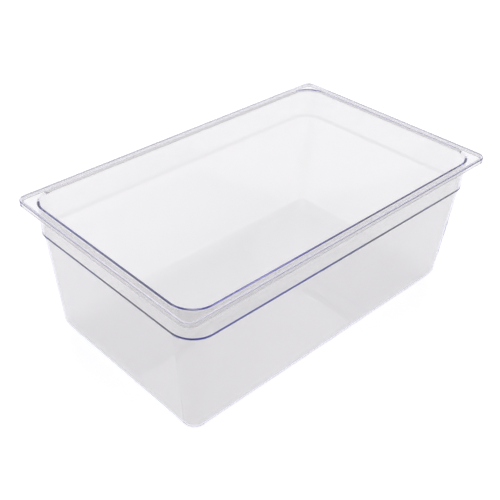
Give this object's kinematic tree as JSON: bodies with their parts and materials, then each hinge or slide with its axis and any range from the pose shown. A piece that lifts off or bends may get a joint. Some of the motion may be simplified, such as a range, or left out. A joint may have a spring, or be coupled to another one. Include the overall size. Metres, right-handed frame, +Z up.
{
  "type": "gastronorm food pan",
  "caption": "Deep clear rectangular food pan with tapered walls, a stepped collar and a flat flange with a turned-down lip.",
  "frame": {"origin": "middle of the flat underside", "axes": "+Z up out of the open top, +X along the long side"},
  "size_m": [0.53, 0.325, 0.2],
  "materials": {
    "clear_polycarbonate": "polished"
  },
  "bodies": {
    "root": {"pan": "clear_polycarbonate"}
  },
  "joints": []
}
